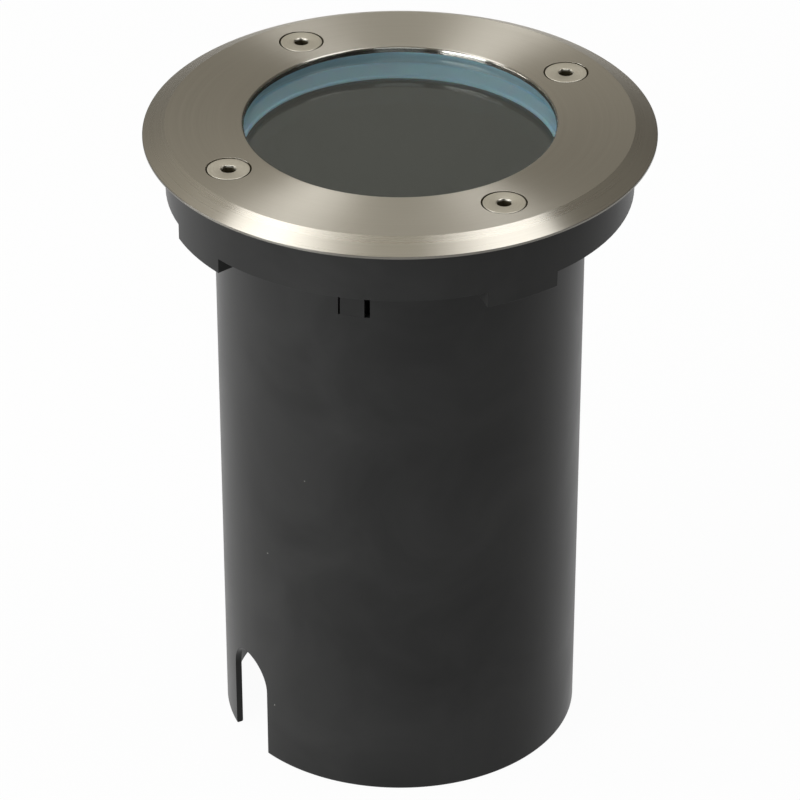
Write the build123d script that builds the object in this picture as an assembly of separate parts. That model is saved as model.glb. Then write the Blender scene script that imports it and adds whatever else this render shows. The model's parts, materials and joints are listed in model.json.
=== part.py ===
from build123d import *
import os
from math import degrees, radians, sqrt, tan

# Recessed ground spotlight: a lamp pot with a steel trim, hanging in a sleeve that stays in the ground.
# Millimetres, +Z up, origin at the middle of the sleeve's bottom edge. The cable slot faces -Y.

# Gaps
slip_gap = 0.3
close_gap = 0.06

# Front opening, glass and gasket
opening_radius = 34.0
glass_bearing = 2.4
glass_thickness = 8.0
glass_chamfer = 0.5
gasket_web = 1.3
gasket_upper_lip = 0.6
gasket_lower_lip = 2.9
gasket_setback = 0.3

# Trim ring
trim_thickness = 2.8
trim_lip = 1.4
trim_lap = 0.6
trim_overhang = 4.7
trim_land = 0.55
bevel_width = 4.8
opening_break = 0.6

# Countersunk trim screws with hexagon sockets, and their inserts
screw_count = 4
screw_radius = 2.45
screw_head_radius = 4.55
screw_head_land = 0.3
screw_sink = 0.05
screw_tip_chamfer = 0.5
socket_width = 3.0
socket_depth = 1.9
countersink_margin = 0.35
screw_hole_gap = 0.3
insert_radius = 3.2
insert_wall = 0.7
insert_sink = 0.2
insert_groove = 0.35
insert_groove_height = 1.6

# Housing: collar above, pot below
flange_plate = 2.5
floor_ring = 1.5
seat_wall = 1.95
boss_wall = 2.0
boss_floor = 1.2
screw_tip_room = 0.8
collar_margin = 3.15
skirt_wall = 2.0
skirt_drop = 1.0
lug_drop = 3.4
lug_half_angle = 9.8
lug_clearance = 0.6
rib_thickness = 1.8
ribs_between_lugs = 2
pot_wall = 2.2
pot_floor = 3.0
pot_draft = 0.6
pot_chamfer = 2.0
key_width = 5.3
keyway_angles = (-45.0, 135.0)
key_lean = 0.5

# Ground sleeve
sleeve_length = 132.6
sleeve_wall = 1.5
sleeve_draft = 0.8
sleeve_clearance = 2.35
base_space = 30.0
slot_width = 14.0
slot_height = 23.5
keyway_side_gap = 0.8
keyway_depth = 11.4
key_end_gap = 0.3

# Lampholder and its bracket
bracket_width = 16.0
bracket_thickness = 1.5
bracket_wall_gap = 2.0
bracket_end = 2.0
post_radius = 4.0
post_height = 5.5
small_screw_radius = 1.5
small_head_radius = 2.75
small_head_height = 1.8
small_screw_bite = 4.0
driver_slot_width = 0.7
driver_slot_depth = 0.8
holder_length = 32.0
holder_depth = 18.0
holder_height = 18.0
contact_width = 4.0
contact_thickness = 0.6
contact_tail = 3.0
lamp_twist = 30.0

# Terminal block and inner leads
lead_radius = 0.95
lead_reach = 7.0
lead_drop = 4.4
lead_straight = 2.5
terminal_pitch = 9.0
terminal_wall = 2.1
terminal_height = 13.0
terminal_gap = 1.2
terminal_edge = 3.0
barrel_radius = 2.4
barrel_end_gap = 0.5
wire_screw_radius = 1.25
wire_screw_length = 4.0

# Cable gland in the pot's floor
gland_thread_radius = 8.0
gland_hex_width = 22.0
gland_flange = 4.0
gland_bore_radius = 5.0
gland_lower_length = 9.0
gland_thread_end = 1.5
gland_gap = 2.5
washer_radius = 10.5
washer_thickness = 1.5
locknut_height = 4.5
seal_bore_radius = 3.75
seal_wall = 2.4
seal_seat = 7.0
seal_nose = 2.6
seal_nose_taper = 1.0
dome_hex_height = 8.0
dome_height = 6.0
dome_mouth_radius = 4.8
dome_tip_wall = 1.6

# Lamp: twist-lock reflector lamp
pin_offset = 5.0
pin_radius = 1.2
pin_head_radius = 2.4
pin_head_length = 2.6
pin_length = 7.0
lamp_base_radius = 11.2
lamp_base_flare = 1.6
lamp_base_length = 19.0
lamp_flat_offset = 8.5
lamp_flat_height = 12.0
lamp_shell_length = 28.0
lamp_neck_radius = 14.0
lamp_face_radius = 25.0
lamp_bulge = 1.2
lamp_rim_height = 4.0
lamp_rim_wall = 1.4
lamp_core_height = 11.0
lens_thickness = 2.5
lens_sink = 0.3
lens_ledge = 1.1
board_thickness = 1.6
board_margin = 1.0
lamp_core_wall = 2.2
chip_size = 2.8
chip_height = 0.8
chip_ring_radius = 7.0
chip_count = 6

# Radii that follow, from the opening outwards
glass_radius = opening_radius + glass_bearing
gasket_lip_radius = opening_radius + gasket_setback
gasket_bore_radius = glass_radius + close_gap
gasket_radius = gasket_bore_radius + gasket_web
seat_radius = gasket_radius + slip_gap
seat_outer_radius = seat_radius + seat_wall
screw_circle = seat_radius + insert_wall + insert_radius
boss_radius = insert_radius + boss_wall
collar_radius = screw_circle + boss_radius + collar_margin
trim_opening_radius = opening_radius - trim_lap
trim_radius = collar_radius + trim_overhang
trim_flat_radius = trim_radius - bevel_width
pot_radius = opening_radius + pot_wall
pot_floor_radius = opening_radius - pot_draft
sleeve_bore_radius = pot_radius + sleeve_clearance
sleeve_radius = sleeve_bore_radius + sleeve_wall
countersink_radius = screw_head_radius + countersink_margin
screw_hole_radius = screw_radius + screw_hole_gap

# Heights that follow, from the ground up
seat_z = sleeve_length
gasket_z = seat_z + floor_ring
glass_z = gasket_z + gasket_lower_lip
glass_top = glass_z + glass_thickness
gasket_top = glass_top + gasket_upper_lip
trim_top = gasket_top + trim_lip
flange_top = trim_top - trim_thickness
flange_underside = flange_top - flange_plate
skirt_z = seat_z - skirt_drop
lug_z = skirt_z - lug_drop
insert_z = seat_z + boss_floor + screw_tip_room
insert_top = flange_top - insert_sink
pot_z = base_space
floor_z = pot_z + pot_floor
bracket_z = floor_z + post_height
holder_z = bracket_z + bracket_thickness
holder_top = holder_z + holder_height
pin_end_z = holder_top - pin_length
contact_z = pin_end_z - slip_gap - contact_thickness
pin_grip = pin_length - pin_head_length - slip_gap
lamp_shell_z = holder_top + lamp_base_length
lamp_face_z = lamp_shell_z + lamp_shell_length

# Places on the pot's floor that follow
bracket_half = sqrt((pot_floor_radius - bracket_wall_gap) ** 2 - (bracket_width / 2) ** 2)
post_offset = bracket_half - bracket_end - post_radius
holder_screw_offset = holder_length / 2 - holder_depth / 4
lead_start_y = holder_depth / 2 + contact_tail
terminal_width = terminal_pitch + 2 * (barrel_radius + terminal_wall)
terminal_y = lead_start_y + lead_reach
terminal_end_y = sqrt((pot_floor_radius - terminal_gap) ** 2 - (terminal_width / 2) ** 2)
lead_z = contact_z + contact_thickness / 2
barrel_z = lead_z - lead_drop
terminal_z = barrel_z - barrel_radius - terminal_wall
gland_y = -(bracket_width / 2 + gland_gap + gland_thread_radius)
washer_z = pot_z - washer_thickness
gland_flange_z = washer_z - gland_flange
gland_low_z = gland_flange_z - gland_lower_length
seal_radius = seal_bore_radius + seal_wall
dome_top = gland_flange_z - slip_gap
dome_z = dome_top - dome_hex_height - dome_height

screw_angles = [360.0 * i / screw_count for i in range(screw_count)]
sides = (-1, 1)


def disc(radius, low, high):
    """Return a cylinder about the Z axis between two heights."""
    return Pos(0, 0, low) * extrude(Circle(radius), high - low)


def ring(inner, outer, low, high):
    """Return a plain ring about the Z axis between two heights."""
    return Pos(0, 0, low) * extrude(Circle(outer) - Circle(inner), high - low)


def block(x_range, y_range, z_range):
    """Return a box between the given low and high values."""
    spans = [high - low for low, high in (x_range, y_range, z_range)]
    middle = [(high + low) / 2 for low, high in (x_range, y_range, z_range)]
    return Pos(*middle) * Box(*spans)


def hexagon(width, low, high):
    """Return a hexagonal prism about the Z axis, by its width across the flats."""
    return Pos(0, 0, low) * extrude(RegularPolygon(width / 2, 6, major_radius=False), high - low)


def turned(points):
    """Return the solid turned about the Z axis from (radius, height) points."""
    return revolve(Plane.XZ * make_face(Polyline(*points, close=True)), Axis.Z)


def sector(inner, outer, half_angle, low, high):
    """Return a piece of a ring, centred on the +X side."""
    reach = 2 * outer
    spread = reach * tan(radians(half_angle))
    wedge = make_face(Polyline((0, 0), (reach, -spread), (reach, spread), close=True))
    return Pos(0, 0, low) * extrude((Circle(outer) - Circle(inner)) & wedge, high - low)


def around(piece, angles):
    """Return copies of a piece turned about the Z axis to each angle."""
    return [Rot(0, 0, angle) * piece for angle in angles]


def terminal_outline(low, high):
    """Return a box with the terminal block's outline between two heights."""
    half = terminal_width / 2
    return block((-half, half), (terminal_y, terminal_end_y), (low, high))


def pan_screw(tip, seat):
    """Return a slotted pan-head screw about the Z axis, from its tip to the seat under its head."""
    top = seat + small_head_height
    body = disc(small_screw_radius, tip, seat) + disc(small_head_radius, seat, top)
    half = driver_slot_width / 2
    slot_reach = (-small_head_radius, small_head_radius)
    return body - block(slot_reach, (-half, half), (top - driver_slot_depth, top))


def ground_sleeve():
    """Return the tapered sleeve, with its cable slot and the keyways in its top edge."""
    sleeve = turned([
        (sleeve_bore_radius - sleeve_draft, 0),
        (sleeve_radius - sleeve_draft, 0),
        (sleeve_radius, sleeve_length),
        (sleeve_bore_radius, sleeve_length),
    ])
    arch_z = slot_height - slot_width / 2
    half = slot_width / 2
    slot = block((-half, half), (-2 * sleeve_radius, 0), (0, arch_z))
    arch = Pos(0, 0, arch_z) * Rot(90, 0, 0) * disc(half, 0, 2 * sleeve_radius)
    half_key = key_width / 2 + keyway_side_gap
    keyway_z = sleeve_length - keyway_depth
    keyway = block((0, 2 * sleeve_radius), (-half_key, half_key), (keyway_z, sleeve_length))
    return sleeve - [slot, arch, *around(keyway, keyway_angles)]


def lamp_housing():
    """Return the moulded pot with its collar, screw bosses, lugs, ribs, keys and floor posts."""
    shell = turned([
        (0, pot_z),
        (pot_radius - pot_draft - pot_chamfer, pot_z),
        (pot_radius - pot_draft, pot_z + pot_chamfer),
        (pot_radius, seat_z),
        (seat_outer_radius, seat_z),
        (seat_outer_radius, flange_underside),
        (collar_radius - skirt_wall, flange_underside),
        (collar_radius - skirt_wall, skirt_z),
        (collar_radius, skirt_z),
        (collar_radius, flange_top),
        (seat_radius, flange_top),
        (seat_radius, gasket_z),
        (opening_radius, gasket_z),
        (pot_floor_radius, floor_z),
        (0, floor_z),
    ])
    boss = Pos(screw_circle, 0, 0) * disc(boss_radius, seat_z, flange_top)
    boss -= disc(seat_radius, gasket_z, flange_top) + disc(opening_radius, seat_z, gasket_z)
    lug_inner = sleeve_radius + lug_clearance
    lug_hollow = lug_half_angle - degrees(rib_thickness / collar_radius)
    lug = sector(lug_inner, collar_radius, lug_half_angle, lug_z, flange_underside)
    lug -= sector(pot_radius, collar_radius - skirt_wall, lug_hollow, lug_z, flange_underside)
    rib = block((seat_outer_radius - seat_wall / 2, collar_radius - skirt_wall / 2),
                (-rib_thickness / 2, rib_thickness / 2), (seat_z, flange_underside))
    quarter = 360.0 / screw_count
    rib_step = quarter / (ribs_between_lugs + 1)
    rib_angles = [a + rib_step * (i + 1) for a in screw_angles for i in range(ribs_between_lugs)]
    key = block((pot_radius - pot_wall / 2, sleeve_radius), (-key_width / 2, key_width / 2),
                (seat_z - keyway_depth + key_end_gap, seat_z))
    post = disc(post_radius, floor_z, bracket_z)
    posts = [Pos(side * post_offset, 0, 0) * post for side in sides]
    pad = terminal_outline(floor_z, terminal_z)
    bodies = around(boss, screw_angles) + around(lug, screw_angles) + around(rib, rib_angles)
    key_angles = [angle - key_lean for angle in keyway_angles]
    housing = shell + bodies + around(key, key_angles) + posts + pad
    insert_bore = disc(insert_radius + close_gap, insert_z - screw_tip_room, flange_top)
    insert_bores = around(Pos(screw_circle, 0, 0) * insert_bore, screw_angles)
    pilot = disc(small_screw_radius + close_gap, bracket_z - small_screw_bite, bracket_z)
    pilots = [Pos(side * post_offset, 0, 0) * pilot for side in sides]
    pad_pilot = Pos(0, (terminal_y + terminal_end_y) / 2, terminal_z - bracket_z) * pilot
    gland_hole = Pos(0, gland_y, 0) * disc(gland_thread_radius + close_gap, pot_z, floor_z)
    return housing - [*insert_bores, *pilots, pad_pilot, gland_hole]


def screw_insert():
    """Return one threaded brass bush with a groove round its middle."""
    middle = (insert_z + insert_top) / 2
    inner = screw_radius + close_gap
    half = insert_groove_height / 2
    return turned([
        (inner, insert_z),
        (insert_radius, insert_z),
        (insert_radius, middle - half),
        (insert_radius - insert_groove, middle - half),
        (insert_radius - insert_groove, middle + half),
        (insert_radius, middle + half),
        (insert_radius, insert_top),
        (inner, insert_top),
    ])


def trim_ring():
    """Return the bevelled trim ring with its gasket recess and countersunk holes."""
    plate = turned([
        (trim_opening_radius, trim_top - trim_lip),
        (trim_opening_radius, trim_top - opening_break),
        (trim_opening_radius + opening_break, trim_top),
        (trim_flat_radius, trim_top),
        (trim_radius, flange_top + trim_land),
        (trim_radius, flange_top),
        (seat_radius, flange_top),
        (seat_radius, trim_top - trim_lip),
    ])
    cone_top = trim_top - screw_head_land
    cone_end = cone_top - (countersink_radius - screw_hole_radius)
    hole = turned([
        (0, flange_top),
        (screw_hole_radius, flange_top),
        (screw_hole_radius, cone_end),
        (countersink_radius, cone_top),
        (countersink_radius, trim_top),
        (0, trim_top),
    ])
    return plate - around(Pos(screw_circle, 0, 0) * hole, screw_angles)


def trim_screw():
    """Return one countersunk screw with a hexagon socket."""
    top = trim_top - screw_sink
    cone_top = top - screw_head_land
    body = turned([
        (0, insert_z),
        (screw_radius - screw_tip_chamfer, insert_z),
        (screw_radius, insert_z + screw_tip_chamfer),
        (screw_radius, cone_top - (screw_head_radius - screw_radius)),
        (screw_head_radius, cone_top),
        (screw_head_radius, top),
        (0, top),
    ])
    return Pos(screw_circle, 0, 0) * (body - hexagon(socket_width, top - socket_depth, top))


def front_glass():
    """Return the thick glass disc with its edges eased."""
    return turned([
        (0, glass_z),
        (glass_radius - glass_chamfer, glass_z),
        (glass_radius, glass_z + glass_chamfer),
        (glass_radius, glass_top - glass_chamfer),
        (glass_radius - glass_chamfer, glass_top),
        (0, glass_top),
    ])


def glass_gasket():
    """Return the U-section gasket round the glass."""
    return turned([
        (gasket_lip_radius, gasket_z),
        (gasket_radius, gasket_z),
        (gasket_radius, gasket_top),
        (gasket_lip_radius, gasket_top),
        (gasket_lip_radius, glass_top),
        (gasket_bore_radius, glass_top),
        (gasket_bore_radius, glass_z),
        (gasket_lip_radius, glass_z),
    ])


def at_gland(piece):
    """Return a piece moved from the Z axis to the gland's axis."""
    return Pos(0, gland_y, 0) * piece


def gland_body():
    """Return the gland's body: hexagon flange, threads above and below, and the bore for the cable."""
    top = floor_z + locknut_height + gland_thread_end
    body = hexagon(gland_hex_width, gland_flange_z, washer_z)
    body += disc(gland_thread_radius, gland_low_z, top)
    body -= disc(gland_bore_radius, gland_low_z, top)
    return at_gland(body - disc(seal_radius + close_gap, gland_low_z, gland_low_z + seal_seat))


def gland_washer():
    """Return the flat sealing washer under the pot."""
    return at_gland(ring(gland_thread_radius + close_gap, washer_radius, washer_z, pot_z))


def gland_locknut():
    """Return the locknut inside the pot."""
    top = floor_z + locknut_height
    nut = hexagon(gland_hex_width, floor_z, top)
    return at_gland(nut - disc(gland_thread_radius + close_gap, floor_z, top))


def gland_seal():
    """Return the rubber bush that grips the cable."""
    return at_gland(turned([
        (seal_bore_radius, gland_low_z - seal_nose),
        (seal_radius - seal_nose_taper, gland_low_z - seal_nose),
        (seal_radius, gland_low_z),
        (seal_radius, gland_low_z + seal_seat),
        (seal_bore_radius, gland_low_z + seal_seat),
    ]))


def gland_dome_nut():
    """Return the dome nut that presses the seal together."""
    hex_z = dome_top - dome_hex_height
    thread_end_z = gland_low_z - slip_gap
    nut = hexagon(gland_hex_width, hex_z, dome_top)
    nut += turned([
        (0, dome_z),
        (dome_mouth_radius + dome_tip_wall, dome_z),
        (gland_hex_width / 2, hex_z),
        (0, hex_z),
    ])
    hollow = turned([
        (0, dome_z),
        (dome_mouth_radius, dome_z),
        (seal_radius - seal_nose_taper + slip_gap, gland_low_z - seal_nose - slip_gap),
        (seal_radius + 2 * slip_gap, thread_end_z),
        (gland_thread_radius + close_gap, thread_end_z),
        (gland_thread_radius + close_gap, dome_top),
        (0, dome_top),
    ])
    return at_gland(nut - hollow)


def holder_bracket():
    """Return the steel strip that carries the lampholder on the pot's posts."""
    half_width = bracket_width / 2
    strip = block((-bracket_half, bracket_half), (-half_width, half_width), (bracket_z, holder_z))
    hole = disc(small_screw_radius + close_gap, bracket_z, holder_z)
    offsets = [side * offset for side in sides for offset in (post_offset, holder_screw_offset)]
    return strip - [Pos(x, 0, 0) * hole for x in offsets]


def bracket_screws():
    """Return the screws that hold the bracket on the posts."""
    screw = pan_screw(bracket_z - small_screw_bite, holder_z)
    return [Pos(side * post_offset, 0, 0) * screw for side in sides]


def lampholder_body():
    """Return the ceramic holder with its twist-lock slots, contact channels and screw holes."""
    body = Pos(0, 0, holder_z) * extrude(SlotOverall(holder_length, holder_depth), holder_height)
    track = CenterArc((0, 0), pin_offset, 0, lamp_twist)
    grip_z = holder_top - pin_grip
    slot = Pos(0, 0, grip_z) * extrude(SlotArc(track, 2 * (pin_radius + slip_gap)), pin_grip)
    pocket = SlotArc(track, 2 * (pin_head_radius + slip_gap))
    pocket = Pos(0, 0, contact_z) * extrude(pocket, grip_z - contact_z)
    entry = Pos(pin_offset, 0, 0) * disc(pin_head_radius + slip_gap, grip_z, holder_top)
    cuts = around(slot + pocket + Rot(0, 0, lamp_twist) * entry, (0, 180))
    half = contact_width / 2 + close_gap
    for side in sides:
        middle = side * pin_offset
        channel_top = contact_z + contact_thickness + close_gap
        cuts.append(block((middle - half, middle + half), (-half, holder_depth), (contact_z, channel_top)))
        screw_hole = disc(small_screw_radius + close_gap, holder_z, holder_top)
        head_seat = holder_top - small_head_height - slip_gap
        screw_hole += disc(small_head_radius + close_gap, head_seat, holder_top)
        cuts.append(Pos(side * holder_screw_offset, 0, 0) * screw_hole)
    return body - cuts


def lampholder_contacts():
    """Return the contact blades under the lamp's pins."""
    half = contact_width / 2
    blade = block((-half, half), (-half, lead_start_y), (contact_z, contact_z + contact_thickness))
    return [Pos(side * pin_offset, 0, 0) * blade for side in sides]


def lampholder_screws():
    """Return the screws that hold the lampholder on the bracket."""
    screw = pan_screw(bracket_z, holder_top - small_head_height - slip_gap)
    return [Pos(side * holder_screw_offset, 0, 0) * screw for side in sides]


def wire_screw_places():
    """Return the (x, y) places of the wire screws, one near each end of each barrel."""
    ends = (terminal_y + terminal_edge, terminal_end_y - terminal_edge)
    return [(side * terminal_pitch / 2, y) for side in sides for y in ends]


def along_pole(radius, start, end):
    """Return a cylinder at the barrels' height that runs along +Y on the middle plane."""
    return Pos(0, start, barrel_z) * Rot(-90, 0, 0) * disc(radius, 0, end - start)


def terminal_block():
    """Return the insulating block with its pole bores, wire-screw wells and fixing hole."""
    top = terminal_z + terminal_height
    body = terminal_outline(terminal_z, top)
    bore = along_pole(barrel_radius + close_gap, terminal_y, terminal_end_y)
    cuts = [Pos(side * terminal_pitch / 2, 0, 0) * bore for side in sides]
    well = disc(wire_screw_radius + slip_gap, barrel_z, top)
    cuts += [Pos(x, y, 0) * well for x, y in wire_screw_places()]
    fixing = disc(small_screw_radius + close_gap, terminal_z, top)
    fixing += disc(small_head_radius + close_gap, barrel_z + barrel_radius, top)
    cuts.append(Pos(0, (terminal_y + terminal_end_y) / 2, 0) * fixing)
    return body - cuts


def terminal_barrels():
    """Return the brass barrels that clamp the wires."""
    start = terminal_y + barrel_end_gap
    end = terminal_end_y - barrel_end_gap
    barrel = along_pole(barrel_radius, start, end) - along_pole(lead_radius + close_gap, start, end)
    barrels = [Pos(side * terminal_pitch / 2, 0, 0) * barrel for side in sides]
    tapped = disc(wire_screw_radius + close_gap, barrel_z, barrel_z + barrel_radius)
    holes = [Pos(x, y, 0) * tapped for x, y in wire_screw_places()]
    return [barrel - holes for barrel in barrels]


def terminal_screws():
    """Return the wire screws of the terminal block."""
    tip = barrel_z + lead_radius + close_gap
    top = tip + wire_screw_length
    half = driver_slot_width / 2
    slot = block((-wire_screw_radius, wire_screw_radius), (-half, half), (top - driver_slot_depth, top))
    screw = disc(wire_screw_radius, tip, top) - slot
    return [Pos(x, y, 0) * screw for x, y in wire_screw_places()]


def terminal_fixing_screw():
    """Return the screw that holds the terminal block on its pad."""
    screw = pan_screw(terminal_z - small_screw_bite + slip_gap, barrel_z + barrel_radius)
    return Pos(0, (terminal_y + terminal_end_y) / 2, 0) * screw


def inner_lead(side):
    """Return one lead, bent from a contact's tail down into its barrel."""
    contact_x = side * pin_offset
    barrel_x = side * terminal_pitch / 2
    route = [
        Vector(contact_x, lead_start_y, lead_z),
        Vector(contact_x, lead_start_y + lead_straight, lead_z),
        Vector(barrel_x, terminal_y - lead_straight / 2, barrel_z),
        Vector(barrel_x, terminal_y + terminal_edge, barrel_z),
    ]
    turn = (route[1] - route[0]).get_angle(route[2] - route[1])
    bend_radius = 0.45 * lead_straight / tan(radians(turn / 2))
    path = FilletPolyline(*route, radius=bend_radius)
    section = Plane(route[0], z_dir=(0, 1, 0)) * Circle(lead_radius)
    return sweep(section, path)


def lamp_pins():
    """Return the lamp's headed pins."""
    head_top = pin_end_z + pin_head_length
    pin = disc(pin_head_radius, pin_end_z, head_top) + disc(pin_radius, head_top, holder_top)
    return [Pos(side * pin_offset, 0, 0) * pin for side in sides]


def lamp_base():
    """Return the lamp's base, flared upwards and flattened at its foot."""
    top_radius = lamp_base_radius + lamp_base_flare
    base = turned([
        (0, holder_top),
        (lamp_base_radius, holder_top),
        (top_radius, lamp_shell_z),
        (0, lamp_shell_z),
    ])
    foot = (holder_top, holder_top + lamp_flat_height)
    for side in sides:
        flat = Box(2 * top_radius, top_radius, foot[1] - foot[0])
        base -= Pos(0, side * (lamp_flat_offset + top_radius / 2), (foot[0] + foot[1]) / 2) * flat
    return base


def lamp_shell():
    """Return the lamp's bell-shaped shell, hollow above its core."""
    rim_z = lamp_face_z - lamp_rim_height
    core_z = lamp_shell_z + lamp_core_height
    lens_radius = lamp_face_radius - lamp_rim_wall
    lens_z = lamp_face_z - lens_sink - lens_thickness
    throat_radius = lens_radius - lens_ledge
    floor_radius = lamp_core_radius()
    middle = ((lamp_neck_radius + lamp_face_radius) / 2 + lamp_bulge, (lamp_shell_z + rim_z) / 2)
    flank = ThreePointArc((lamp_neck_radius, lamp_shell_z), middle, (lamp_face_radius, rim_z))
    inside = Polyline(
        (lamp_face_radius, rim_z),
        (lamp_face_radius, lamp_face_z),
        (lens_radius, lamp_face_z),
        (lens_radius, lens_z),
        (throat_radius, lens_z),
        (floor_radius, core_z),
        (0, core_z),
        (0, lamp_shell_z),
        (lamp_neck_radius, lamp_shell_z),
    )
    return revolve(Plane.XZ * make_face([flank, *inside.edges()]), Axis.Z)


def lamp_core_radius():
    """Return the inner radius of the shell where its hollow begins."""
    share = lamp_core_height / (lamp_shell_length - lamp_rim_height)
    return lamp_neck_radius + share * (lamp_face_radius - lamp_neck_radius) - lamp_core_wall


def lamp_lens():
    """Return the lamp's front lens, seated on the ledge in the rim."""
    top = lamp_face_z - lens_sink
    return disc(lamp_face_radius - lamp_rim_wall - close_gap, top - lens_thickness, top)


def lamp_led_board():
    """Return the board with its ring of light-emitting chips and one in the middle."""
    low = lamp_shell_z + lamp_core_height
    top = low + board_thickness
    board = disc(lamp_core_radius() - board_margin, low, top)
    chip = Pos(0, 0, top + chip_height / 2) * Box(chip_size, chip_size, chip_height)
    angles = [360.0 * i / chip_count for i in range(chip_count)]
    return board + [chip, *around(Pos(chip_ring_radius, 0, 0) * chip, angles)]


pieces = {
    "ground_sleeve": ground_sleeve(),
    "lamp_housing": lamp_housing(),
    "screw_inserts": around(Pos(screw_circle, 0, 0) * screw_insert(), screw_angles),
    "trim_ring": trim_ring(),
    "front_glass": front_glass(),
    "glass_gasket": glass_gasket(),
    "gland_body": gland_body(),
    "gland_washer": gland_washer(),
    "gland_locknut": gland_locknut(),
    "gland_seal": gland_seal(),
    "gland_dome_nut": gland_dome_nut(),
    "holder_bracket": holder_bracket(),
    "bracket_screws": bracket_screws(),
    "lampholder_body": lampholder_body(),
    "lampholder_contacts": lampholder_contacts(),
    "lampholder_screws": lampholder_screws(),
    "terminal_block": terminal_block(),
    "terminal_barrels": terminal_barrels(),
    "terminal_screws": terminal_screws(),
    "terminal_fixing_screw": terminal_fixing_screw(),
    "live_lead": inner_lead(-1),
    "neutral_lead": inner_lead(1),
    "lamp_pins": lamp_pins(),
    "lamp_base": lamp_base(),
    "lamp_shell": lamp_shell(),
    "lamp_lens": lamp_lens(),
    "lamp_led_board": lamp_led_board(),
}
for number, screw in enumerate(around(trim_screw(), screw_angles), start=1):
    pieces[f"trim_screw_{number}"] = screw

os.makedirs("parts", exist_ok=True)
for name, piece in pieces.items():
    solid = Compound(piece) if isinstance(piece, list) else piece
    export_step(solid, f"parts/{name}.step")
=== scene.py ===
import json
from math import cos, pi, radians, sin, sqrt, tan

import bmesh
import bpy
from mathutils import Matrix, Vector


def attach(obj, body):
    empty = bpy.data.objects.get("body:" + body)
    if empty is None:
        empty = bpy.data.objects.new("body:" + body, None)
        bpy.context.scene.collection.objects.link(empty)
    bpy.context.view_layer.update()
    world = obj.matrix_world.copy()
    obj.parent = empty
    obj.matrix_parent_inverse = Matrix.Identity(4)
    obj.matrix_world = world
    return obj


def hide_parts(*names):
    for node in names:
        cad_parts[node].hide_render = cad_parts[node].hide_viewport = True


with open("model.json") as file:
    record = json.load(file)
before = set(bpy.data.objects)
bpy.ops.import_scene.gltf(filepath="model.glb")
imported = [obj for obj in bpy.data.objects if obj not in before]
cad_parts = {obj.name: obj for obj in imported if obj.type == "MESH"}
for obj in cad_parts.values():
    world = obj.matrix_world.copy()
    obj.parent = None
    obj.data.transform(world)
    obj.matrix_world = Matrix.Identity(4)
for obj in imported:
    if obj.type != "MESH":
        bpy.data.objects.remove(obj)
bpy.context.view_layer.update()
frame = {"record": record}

# Sizes are in millimetres: radii from the axis, heights from the sleeve's bottom edge
MM = 0.001

# Trim ring
OPENING_R = 33.4
OPENING_BREAK = 0.6
SEAT_R = 38.06
TRIM_FLAT_R = 50.21
TRIM_R = 55.01
TRIM_EDGE = 0.55
TRIM_LOW = 144.2
TRIM_TOP = 147.0

# Trim screws and their countersinks
SCREW_ANGLES = (0, 90, 180, 270)
SCREW_CIRCLE_R = 41.96
SINK_R = 4.9
SINK_LAND = 0.3
SCREW_HOLE_R = 2.75
HEAD_R = 4.55
HEAD_LAND = 0.3
HEAD_BELOW_TRIM = 0.05
SOCKET_WIDTH = 3.0
SOCKET_DEPTH = 1.9
SOCKET_LEAD_IN = 0.28
SHANK_R = 2.45
THREAD_CORE_R = 2.05
THREAD_PITCH = 0.8
THREAD_TOP = 143.6
SCREW_TIP = 134.6

# Glass and gasket
GLASS_R = 36.4
GLASS_CHAMFER = 0.5
GLASS_LOW = 137.0
GLASS_TOP = 145.0
GASKET_R = 37.76
GASKET_BORE_R = 36.46
GASKET_LIP_R = 34.3
GASKET_LIP_TAPER = 1.0
GASKET_BEAD_R = 33.75
GASKET_BEAD_WIDTH = 0.6
GASKET_BEAD_FACE = 0.4
GASKET_PLAY = 0.02
GASKET_LOW = 134.1
GASKET_TOP = 145.6

# Ground sleeve and the housing's keys
SLEEVE_R = 40.05
SLEEVE_BORE_R = 38.55
SLEEVE_DRAFT = 0.8
SLEEVE_TOP = 132.6
SLOT_WIDTH = 14.0
SLOT_HEIGHT = 23.5
SLOT_ARCH_STEPS = 24
KEYWAY_ANGLES = (-45, 135)
KEYWAY_WIDTH = 6.9
KEYWAY_LOW = 121.2
KEY_FOOT_R = 36.5
KEY_FOOT_REACH = 1.0
KEY_PLAY = 0.05

# Lamp
BOARD_TOP = 89.6
CHIP_FOOT = 0.05
LENS_R = 23.54
LENS_LOW = 102.2
LENS_TOP = 104.7
LENS_BORDER = 1.0
LENS_RING_STEP = 0.4
FACET_SIZE = 2.6
FACET_DEPTH = 0.45
FACET_BORDER = 1.2

# Cutters' overrun and the flat kept beside an eased corner
CUT_OVER = 1.0
FLAT_MARGIN = 0.12

# Factors: room for an eased corner, and the shortest run, in reaches, that gets a point beside the corner
EASE_CLEARANCE = 1.2
LEAST_RUN = 3.0

# Points closer than this, in metres, are one point
SAME_PLACE = 1e-6


# Node helpers

def add_node(tree, kind, inputs=None, **settings):
    """Add a node with its settings, and with a value or a link for each input named."""
    node = tree.nodes.new(kind)
    for name, value in settings.items():
        setattr(node, name, value)
    for name, value in (inputs or {}).items():
        if isinstance(value, bpy.types.NodeSocket):
            tree.links.new(value, node.inputs[name])
        else:
            node.inputs[name].default_value = value
    return node


def calc(tree, operation, *values):
    """Add a math node and return its output."""
    return add_node(tree, "ShaderNodeMath", dict(enumerate(values)), operation=operation).outputs[0]


def vector_calc(tree, operation, *values):
    """Add a vector math node and return its outputs, Vector and Value."""
    return add_node(tree, "ShaderNodeVectorMath", dict(enumerate(values)), operation=operation).outputs


def split(tree, vector):
    """Return a vector's X, Y and Z outputs."""
    return add_node(tree, "ShaderNodeSeparateXYZ", {0: vector}).outputs


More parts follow.
